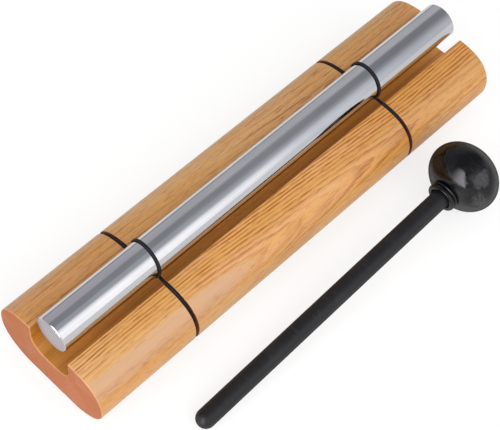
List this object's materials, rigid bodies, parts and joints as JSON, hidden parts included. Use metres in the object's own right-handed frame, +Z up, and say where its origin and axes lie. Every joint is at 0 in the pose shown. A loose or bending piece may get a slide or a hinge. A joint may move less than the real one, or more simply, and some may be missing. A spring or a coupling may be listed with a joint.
{
  "type": "chime bar",
  "caption": "Solo chime bar: a solid metal rod hung on elastic cord loops over a grooved wooden base, with a separate ball-headed mallet.",
  "frame": {"origin": "middle of the wooden base's flat sole", "axes": "+X along the rod towards its far end, +Y across the base away from the mallet, +Z up"},
  "size_m": [0.226, 0.0984, 0.0463],
  "materials": {
    "ash_wood": "satin clear lacquer over straight ash grain",
    "polished_aluminium": "polished along its length, fine drawn lines",
    "elastic_cord": "black braided cover over rubber, matte",
    "handle_plastic": "black, fine satin",
    "head_plastic": "black, soft gloss with light scuffs",
    "collar_plastic": "black, moulded ribs"
  },
  "bodies": {
    "base": {"base_block": "ash_wood"},
    "suspension": {"cord_near": "elastic_cord", "cord_far": "elastic_cord"},
    "bar": {"chime_rod": "polished_aluminium"},
    "mallet": {"mallet_handle": "handle_plastic", "mallet_head": "head_plastic", "mallet_collar": "collar_plastic"}
  },
  "joints": [
    {"name": "bar_bob", "type": "slide", "parent": "base", "child": "suspension", "axis": [0, 0, 1], "range_m": [-0.008, 0.005], "stiffness_N_per_m": 700, "springref_m": 0.0017, "deforming": ["cord_near", "cord_far"]},
    {"name": "bar_turn", "type": "hinge", "parent": "suspension", "child": "bar", "pos_m": [0, 0, 0.03671], "axis": [1, 0, 0], "continuous": true},
    {"name": "mallet_lift", "type": "slide", "parent": "base", "child": "mallet", "axis": [0, 0, 1], "range_m": [0, 0.12]}
  ]
}
